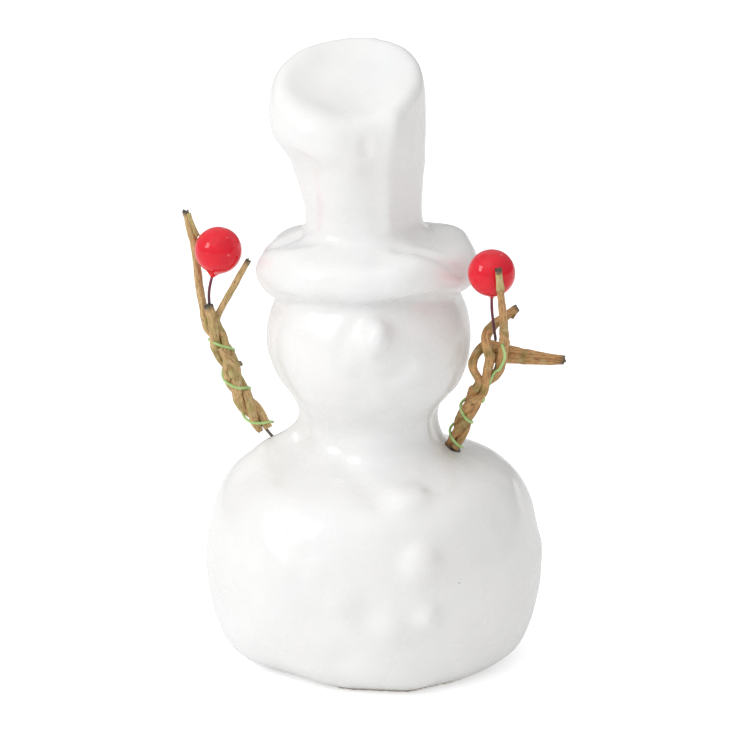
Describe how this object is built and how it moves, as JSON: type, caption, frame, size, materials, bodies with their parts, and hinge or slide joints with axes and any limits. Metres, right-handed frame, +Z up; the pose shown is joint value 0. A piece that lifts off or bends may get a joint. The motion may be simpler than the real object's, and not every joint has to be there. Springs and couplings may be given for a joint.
{
  "type": "ceramic snowman figure",
  "caption": "Standing white glazed ceramic snowman in a tall dented hat, with removable twisted twig arms that each carry a red berry on a bendable wire.",
  "frame": {"origin": "centre of the foot ring, in the plane the figure stands on", "axes": "+Z up through the body, -Y the way the face and buttons look, +X toward the arm with the looped twig"},
  "size_m": [0.0938, 0.0882, 0.1589],
  "materials": {
    "white_glaze": "glossy white glaze",
    "twig_bark": "dry thin bark",
    "green_wire": "light green coated wire",
    "stem_wire": "maroon coated wire",
    "peg_wire": "dark annealed wire",
    "berry_red": "glossy red lacquer"
  },
  "bodies": {
    "figure": {"snow_body": "white_glaze", "snow_head": "white_glaze", "hat_brim": "white_glaze", "hat_crown": "white_glaze", "nose": "white_glaze", "top_button": "white_glaze", "middle_button": "white_glaze", "bottom_button": "white_glaze"},
    "left_peg": {"left_arm_peg": "peg_wire"},
    "left_arm": {"left_outer_twig": "twig_bark", "left_short_twig": "twig_bark", "left_stub_twig": "twig_bark", "left_bark_curl": "twig_bark", "left_green_wire": "green_wire"},
    "left_berry_pick": {"left_berry_stem": "stem_wire", "left_berry": "berry_red"},
    "right_peg": {"right_arm_peg": "peg_wire"},
    "right_arm": {"right_loop_twig": "twig_bark", "right_front_twig": "twig_bark", "right_up_twig": "twig_bark", "right_side_splint": "twig_bark", "right_green_wire": "green_wire"},
    "right_berry_pick": {"right_berry_stem": "stem_wire", "right_berry": "berry_red"}
  },
  "joints": [
    {"name": "left_arm_pull", "type": "slide", "parent": "figure", "child": "left_peg", "axis": [-0.6149, -0.0974, 0.7826], "range_m": [0, 0.012]},
    {"name": "left_arm_twist", "type": "hinge", "parent": "left_peg", "child": "left_arm", "pos_m": [-0.02455, 0.00612, 0.05684], "axis": [-0.6149, -0.0974, 0.7826], "range_deg": [-30, 30]},
    {"name": "left_berry_bend", "type": "hinge", "parent": "left_arm", "child": "left_berry_pick", "pos_m": [-0.04245, 0.00192, 0.09404], "axis": [1, 0, 0], "range_deg": [0, 25]},
    {"name": "right_arm_pull", "type": "slide", "parent": "figure", "child": "right_peg", "axis": [0.2328, -0.3584, 0.9041], "range_m": [0, 0.012]},
    {"name": "right_arm_twist", "type": "hinge", "parent": "right_peg", "child": "right_arm", "pos_m": [0.01903, -0.00546, 0.05549], "axis": [0.2328, -0.3584, 0.9041], "range_deg": [-10, 30]},
    {"name": "right_berry_bend", "type": "hinge", "parent": "right_arm", "child": "right_berry_pick", "pos_m": [0.02663, -0.02086, 0.08769], "axis": [0, 1, 0], "range_deg": [-5, 25]}
  ]
}
